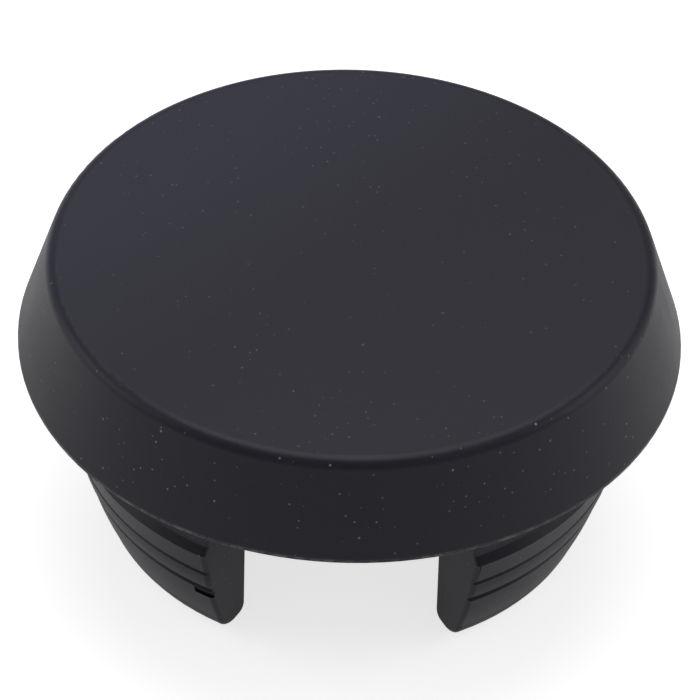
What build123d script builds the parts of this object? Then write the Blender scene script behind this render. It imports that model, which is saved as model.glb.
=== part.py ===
from build123d import *
import math
import os

# Round snap-in plug that closes a hole in a panel, moulded in one shot.
# Millimetres. Z points up, the origin is the centre of the seat under the head,
# and one gap between the legs faces -Y.

# head
rim_diameter = 30.0
rim_land = 0.25            # short upright edge at the foot of the skirt
head_height = 4.75         # seat to flat top
skirt_draft = 17.0         # degrees from upright
top_edge_radius = 0.6
rim_edge_radius = 0.1
crown_wall = 2.45          # left over the pocket in the middle of the head
core_edge_radius = 0.8
gate_diameter = 2.2        # gate mark left standing in the pocket
gate_height = 0.35

# hole the plug closes, and how the legs sit in it
hole_diameter = 25.0
neck_clearance = 0.05      # per side, legs relaxed
snap_bite = 0.25           # how far the bead stands past the hole, per side
bead_drop = 3.5            # seat to crest of the bead
bead_height = 0.35         # ramp from neck to crest

# legs
leg_count = 3
leg_arc = 63.0             # degrees each leg spans
leg_wall = 3.45            # at the neck
leg_length = 9.6           # seat to tips
first_step_drop = 4.85     # seat to the shallow groove
first_step_inset = 0.34    # taper lost between bead and shallow groove
second_step_drop = 6.15    # seat to the deep groove
second_step_inset = 0.36
shallow_groove = 0.1       # depth below the wall, and half the width at the wall
deep_groove = 0.16
band_crown = 0.06          # bulge of the bands between grooves
lead_in_height = 1.05      # from the tips up to where the outer wall turns in
lead_in_inset = 0.85
tip_width = 1.0            # flat foot the plug stands on
tip_curve = 0.25           # bulge of the lead-in
inner_tip_radius = 0.5
leg_edge_radius = 0.2

# pocket pressed into one end of each leg, just under the deep groove
notch_width = 0.95
notch_height = 0.4
notch_depth = 0.3

rim_radius = rim_diameter / 2
neck_radius = hole_diameter / 2 - neck_clearance
bead_radius = hole_diameter / 2 + snap_bite
leg_inner_radius = neck_radius - leg_wall
first_step_radius = bead_radius - first_step_inset
second_step_radius = first_step_radius - second_step_inset
lead_in_radius = second_step_radius - lead_in_inset
lead_in_drop = leg_length - lead_in_height
core_depth = head_height - crown_wall


def head():
    skirt_top = rim_radius - (head_height - rim_land) * math.tan(math.radians(skirt_draft))
    with BuildPart() as crown:
        with BuildSketch(Plane.XZ):
            with BuildLine():
                Polyline((0, 0), (rim_radius, 0), (rim_radius, rim_land),
                         (skirt_top, head_height), (0, head_height), close=True)
            make_face()
        revolve(axis=Axis.Z)
        fillet(crown.edges().group_by(Axis.Z)[-1], top_edge_radius)
        fillet(crown.edges().group_by(Axis.Z)[:2], rim_edge_radius)
    return crown.part


def core():
    # hollow inside the ring of legs, rounded at its ceiling around the gate mark
    pocket = Cylinder(leg_inner_radius, core_depth,
                      align=(Align.CENTER, Align.CENTER, Align.MIN))
    pocket = fillet(pocket.edges().group_by(Axis.Z)[-1], core_edge_radius)
    gate = Pos(0, 0, core_depth) * Cylinder(
        gate_diameter / 2, gate_height, align=(Align.CENTER, Align.CENTER, Align.MAX))
    return pocket - gate


def leg_section():
    tip_outer = leg_inner_radius + tip_width
    with BuildSketch(Plane.XZ) as section:
        with BuildLine():
            Polyline((leg_inner_radius, -leg_length), (leg_inner_radius, 0),
                     (neck_radius, 0), (neck_radius, bead_height - bead_drop),
                     (bead_radius, -bead_drop), (first_step_radius, -first_step_drop))
            SagittaArc((first_step_radius, -first_step_drop),
                       (second_step_radius, -second_step_drop), band_crown)
            SagittaArc((second_step_radius, -second_step_drop),
                       (lead_in_radius, -lead_in_drop), band_crown)
            SagittaArc((lead_in_radius, -lead_in_drop), (tip_outer, -leg_length), tip_curve)
            Line((tip_outer, -leg_length), (leg_inner_radius, -leg_length))
        make_face()
        inner_tip = section.vertices().group_by(Axis.X)[0].sort_by(Axis.Y)[0]
        fillet(inner_tip, inner_tip_radius)
    return section.sketch


def groove(radius, drop, depth):
    # V cut all round, run out past the wall so that it opens cleanly
    with BuildPart() as ring:
        with BuildSketch(Plane.XZ):
            with Locations((radius, -drop)):
                Polygon((-depth, 0), (depth, -2 * depth), (depth, 2 * depth), align=None)
        revolve(axis=Axis.Z)
    return ring.part


def notch():
    # stands across the far end face of the leg
    drop = second_step_drop + deep_groove + notch_height / 2
    block = Pos(second_step_radius, 0, -drop) * Box(
        2 * notch_depth, 2 * notch_width, notch_height)
    return Rot(0, 0, leg_arc) * block


def leg():
    arm = revolve(leg_section(), axis=Axis.Z, revolution_arc=leg_arc)
    ends = arm.faces().filter_by(GeomType.PLANE).filter_by(
        lambda face: abs(face.normal_at().Z) < 0.5)
    arm = fillet([edge for face in ends for edge in face.edges()
                  if edge.center().Z < -leg_edge_radius], leg_edge_radius)
    arm -= groove(first_step_radius, first_step_drop, shallow_groove)
    arm -= groove(second_step_radius, second_step_drop, deep_groove)
    return arm - notch()


def hole_plug():
    pitch = 360 / leg_count
    first_start = -90 + (pitch - leg_arc) / 2
    body = head() - core()
    for index in range(leg_count):
        body += Rot(0, 0, first_start + index * pitch) * leg()
    return body


os.makedirs("parts", exist_ok=True)
export_step(hole_plug(), "parts/hole_plug.step")
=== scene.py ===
import math

import bpy
from mathutils import Matrix, Vector


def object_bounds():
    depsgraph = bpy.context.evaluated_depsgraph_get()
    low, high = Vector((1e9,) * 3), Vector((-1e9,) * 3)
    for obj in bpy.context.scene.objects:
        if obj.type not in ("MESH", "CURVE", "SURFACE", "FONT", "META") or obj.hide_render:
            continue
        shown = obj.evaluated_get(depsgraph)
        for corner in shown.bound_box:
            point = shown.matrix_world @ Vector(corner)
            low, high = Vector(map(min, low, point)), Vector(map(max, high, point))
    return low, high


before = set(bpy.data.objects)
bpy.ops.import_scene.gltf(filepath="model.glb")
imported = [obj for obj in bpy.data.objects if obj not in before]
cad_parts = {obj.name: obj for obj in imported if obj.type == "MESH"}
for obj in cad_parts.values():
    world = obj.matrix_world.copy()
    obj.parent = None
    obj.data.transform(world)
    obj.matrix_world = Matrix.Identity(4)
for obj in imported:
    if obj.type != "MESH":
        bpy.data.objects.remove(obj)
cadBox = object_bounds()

# Round snap-in hole plug in soft black plastic, standing on its legs on a white table.
# Metres, +Z up, origin at the centre of the seat under the head.


class Value:
    # a number socket that takes part in ordinary arithmetic
    def __init__(self, shader, socket):
        self.shader = shader
        self.socket = socket

    def __add__(self, other):
        return self.shader.math("ADD", self, other)

    def __radd__(self, other):
        return self.shader.math("ADD", other, self)

    def __sub__(self, other):
        return self.shader.math("SUBTRACT", self, other)

    def __rsub__(self, other):
        return self.shader.math("SUBTRACT", other, self)

    def __mul__(self, other):
        return self.shader.math("MULTIPLY", self, other)

    def __rmul__(self, other):
        return self.shader.math("MULTIPLY", other, self)

    def __gt__(self, other):
        return self.shader.math("GREATER_THAN", self, other)

    def between(self, low, high):
        # 0 below low, 1 above high, smooth in the middle
        ramp = self.shader.node("ShaderNodeMapRange", {"interpolation_type": "SMOOTHSTEP"},
                                {"Value": self, "From Min": low, "From Max": high})
        return self.shader.value(ramp, "Result")


class Shader:
    # a material or world tree, filled one node at a time
    def __init__(self, owner):
        owner.use_nodes = True
        self.tree = owner.node_tree
        self.tree.nodes.clear()

    def node(self, kind, settings=None, sockets=None):
        made = self.tree.nodes.new(kind)
        for name, setting in (settings or {}).items():
            setattr(made, name, setting)
        for name, given in (sockets or {}).items():
            socket = made.inputs[name]
            if isinstance(given, Value):
                self.tree.links.new(given.socket, socket)
            elif isinstance(given, bpy.types.NodeSocket):
                self.tree.links.new(given, socket)
            else:
                socket.default_value = given
        return made

    def value(self, made, output=0):
        return Value(self, made.outputs[output])

    def math(self, operation, first, second):
        return self.value(self.node("ShaderNodeMath", {"operation": operation},
                                    {0: first, 1: second}))

    def noise(self, place, scale, detail, roughness=0.5):
        made = self.node("ShaderNodeTexNoise", None,
                         {"Vector": place, "Scale": scale, "Detail": detail,
                          "Roughness": roughness})
        return self.value(made, "Fac")

    def mixColour(self, mask, first, second):
        made = self.node("ShaderNodeMix", {"data_type": "RGBA"},
                         {0: mask, 6: first, 7: second})
        return made.outputs[2]


def grey(level):
    return (level, level, level, 1.0)


moulding = {                                       # all lengths in mm
    "colour": (0.0070, 0.0066, 0.0168, 1.0),       # black plastic, a touch cold
    "cloudColour": (0.0110, 0.0106, 0.0200, 1.0),  # where handling has greyed it
    "topSheenColour": (0.028, 0.028, 0.050, 1.0),      # painted sheen: the top face lighter and bluer, most at the far left
    "dustColour": (0.24, 0.23, 0.23, 1.0),
    "rimHighlightColour": (0.15, 0.145, 0.145, 1.0),      # painted highlight along the rim's lower edge
    "roughness": 0.34,
    "ior": 1.40,
    "cloudPerMm": 0.16,
    "cloudShare": 0.5,
    "grainPerMm": 5.5,
    "grainShare": 1.6,
    "grainMiddle": 0.4,
    "grainDepth": 0.000012,                        # metres
    "wavePerMm": 1.4,                              # slow unevenness under the grain
    "patchPerMm": 0.32,                            # where dust has gathered
    "coarseDust": {"perMm": 1.7, "size": 0.10, "plenty": 2.2},
    "fineDust": {"perMm": 3.0, "size": 0.17, "plenty": 2.6},
    "fineDustShare": 0.7,
    "dustAnywhere": 0.09,
    "dustInPatches": 0.42,
    "topSheenAnywhere": 0.2,
    "topSheenShare": 0.75,
    "rimHighlightTop": 0.28,                              # painted highlight reaches this far above the seat
    "rimHighlightPerMm": 1.6,
    "rimHighlightShare": 0.8,
}


def dustSpecks(shader, place, dust, thick):
    # a few cells of a Voronoi pattern each hold one round speck
    size = dust["size"]
    amount = dust["plenty"] * thick
    cells = shader.node("ShaderNodeTexVoronoi", None, {"Vector": place, "Scale": dust["perMm"]})
    parts = shader.node("ShaderNodeSeparateColor", None, {"Color": cells.outputs["Color"]})
    chosen = amount > shader.value(parts, "Red")
    radius = shader.value(parts, "Green") * size + 0.35 * size
    inside = (radius - shader.value(cells, "Distance")).between(0.0, 0.5 * size)
    return chosen * inside * (0.35 + 0.65 * shader.value(parts, "Blue"))


def blackMoulding(look):
    material = bpy.data.materials.new("blackMoulding")
    shader = Shader(material)
    where = shader.node("ShaderNodeTexCoord")
    inMm = shader.node("ShaderNodeVectorMath", {"operation": "SCALE"},
                       {0: where.outputs["Object"], "Scale": 1000.0}).outputs[0]
    axes = shader.node("ShaderNodeSeparateXYZ", None, {0: inMm})
    x, y, z = (shader.value(axes, name) for name in "XYZ")

    clouds = shader.noise(inMm, look["cloudPerMm"], 4.0, 0.6).between(0.35, 0.7)
    grain = shader.noise(inMm, look["grainPerMm"], 3.0, 0.65)
    patches = shader.noise(inMm, look["patchPerMm"], 3.0, 0.6).between(0.38, 0.62)

    # dust lies thicker on the far half of the top and along the front edge
    headTop = 1000.0 * cadBox[1][2]
    farTop = (y - 0.25 * x).between(2.0, 9.0) * z.between(headTop - 0.35, headTop - 0.05)
    frontEdge = (0.0 - y).between(8.5, 12.0) * z.between(0.3, 3.0)
    gathered = look["dustInPatches"]
    thick = look["dustAnywhere"] + gathered * farTop * patches + gathered * frontEdge * patches
    fineDust = dustSpecks(shader, inMm, look["fineDust"], thick)
    dust = dustSpecks(shader, inMm, look["coarseDust"], thick) + look["fineDustShare"] * fineDust

    # painted sheen: the top face made lighter and bluer, rising towards the far left
    farLeft = look["topSheenAnywhere"] + (y - 0.9 * x).between(-2.0, 17.0)
    topSheen = farLeft * z.between(headTop - 0.75, headTop - 0.05)

    # painted highlight: a pale band round the seat under the rim's lower edge, broken up by
    # noise
    rimHighlight = (1 - z.between(0.1, look["rimHighlightTop"])) * (z + 0.2).between(0.0, 0.1)
    rimHighlight = rimHighlight * shader.noise(inMm, look["rimHighlightPerMm"], 3.0, 0.7).between(0.42, 0.62)

    greyed = look["cloudShare"] * clouds + look["grainShare"] * (grain - look["grainMiddle"])
    colour = shader.mixColour(greyed, look["colour"], look["cloudColour"])
    colour = shader.mixColour(look["topSheenShare"] * topSheen, colour, look["topSheenColour"])
    colour = shader.mixColour(look["rimHighlightShare"] * rimHighlight, colour, look["rimHighlightColour"])
    colour = shader.mixColour(dust.between(0.0, 1.0), colour, look["dustColour"])
    roughness = look["roughness"] + 0.1 * grain + 0.06 * clouds + 0.2 * dust

    height = grain + 1.2 * dust + 0.5 * shader.noise(inMm, look["wavePerMm"], 2.0)
    bump = shader.node("ShaderNodeBump", None,
                       {"Strength": 0.5, "Distance": look["grainDepth"], "Height": height})
    surface = shader.node("ShaderNodeBsdfPrincipled", None, {
        "Base Color": colour, "Roughness": roughness, "IOR": look["ior"],
        "Normal": bump.outputs[0]})
    shader.node("ShaderNodeOutputMaterial", None, {"Surface": surface.outputs[0]})
    return material


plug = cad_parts["hole_plug"]
plug.data.materials.clear()
plug.data.materials.append(blackMoulding(moulding))
print("moulding: finish set")

table = {
    "halfWidth": 0.6,
    "shade": 0.80,        # painted part, which takes the shadow
    "glow": 0.72,         # what the eye sees on top of it
    "shine": 0.30,        # what the glossy skirt mirrors on top of it
}


def whiteTable(look, height):
    half = look["halfWidth"]
    corners = [(-half, -half, height), (half, -half, height),
               (half, half, height), (-half, half, height)]
    mesh = bpy.data.meshes.new("table")
    mesh.from_pydata(corners, [], [(0, 1, 2, 3)])
    top = bpy.data.objects.new("table", mesh)
    bpy.context.collection.objects.link(top)
    material = bpy.data.materials.new("whiteTable")
    shader = Shader(material)
    path = shader.node("ShaderNodeLightPath")
    seen = shader.value(path, "Is Camera Ray")
    mirrored = shader.value(path, "Is Glossy Ray")
    paint = shader.node("ShaderNodeBsdfDiffuse", None, {"Color": grey(look["shade"])})
    strength = look["glow"] * seen + look["shine"] * mirrored
    glow = shader.node("ShaderNodeEmission", None, {"Color": grey(1.0), "Strength": strength})
    both = shader.node("ShaderNodeAddShader", None, {0: paint.outputs[0], 1: glow.outputs[0]})
    shader.node("ShaderNodeOutputMaterial", None, {"Surface": both.outputs[0]})
    mesh.materials.append(material)


whiteTable(table, cadBox[0][2])
print("table: laid under the legs")

studio = {
    "roomLevel": 0.28,
    "lamps": {                 # place, size and watts
        "overhead": ((0.0, 0.18, 0.50), 0.5, 1.0),
        "left": ((-0.45, 0.05, 0.22), 0.35, 0.36),
        "right": ((0.45, 0.05, 0.22), 0.35, 0.36),
    },
}


def light(look):
    world = bpy.data.worlds.new("room")
    bpy.context.scene.world = world
    shader = Shader(world)
    path = shader.node("ShaderNodeLightPath")
    seen = shader.value(path, "Is Camera Ray")
    level = look["roomLevel"] + (1.0 - look["roomLevel"]) * seen
    room = shader.node("ShaderNodeBackground", None, {"Color": grey(1.0), "Strength": level})
    shader.node("ShaderNodeOutputWorld", None, {"Surface": room.outputs[0]})
    for name, (place, size, watts) in look["lamps"].items():
        lamp = bpy.data.lights.new(name, "AREA")
        lamp.shape = "DISK"
        lamp.size = size
        lamp.energy = watts
        holder = bpy.data.objects.new(name, lamp)
        holder.location = place
        holder.rotation_euler = Vector(place).to_track_quat("Z", "Y").to_euler()
        bpy.context.collection.objects.link(holder)


light(studio)
print("light: room and lamps on")

eye = {
    "azimuth": 0.5,            # degrees round from the front
    "elevation": 41.33,
    "roll": 1.66,
    "distance": 0.300,
    "lens": 340.8,             # mm on a 36 mm sensor
    "lift": 0.00058,           # aims this far under the seat
    "aside": 0.00002,
}


def camera(look):
    turn, rise = math.radians(look["azimuth"]), math.radians(look["elevation"])
    back = Vector((math.sin(turn) * math.cos(rise), -math.cos(turn) * math.cos(rise),
                   math.sin(rise)))
    right = Vector((math.cos(turn), math.sin(turn), 0.0))
    up = back.cross(right)
    roll = math.radians(look["roll"])
    rolledRight = right * math.cos(roll) + up * math.sin(roll)
    rolledUp = up * math.cos(roll) - right * math.sin(roll)
    target = -look["lift"] * rolledUp + look["aside"] * rolledRight
    data = bpy.data.cameras.new("eye")
    data.sensor_width = 36.0
    data.lens = look["lens"]
    data.clip_start = 0.01
    holder = bpy.data.objects.new("eye", data)
    bpy.context.collection.objects.link(holder)
    axes = Matrix((rolledRight, rolledUp, back)).transposed().to_4x4()
    holder.matrix_world = Matrix.Translation(target + back * look["distance"]) @ axes
    bpy.context.scene.camera = holder


camera(eye)
bpy.context.scene.view_settings.view_transform = "Standard"
print("camera: set")
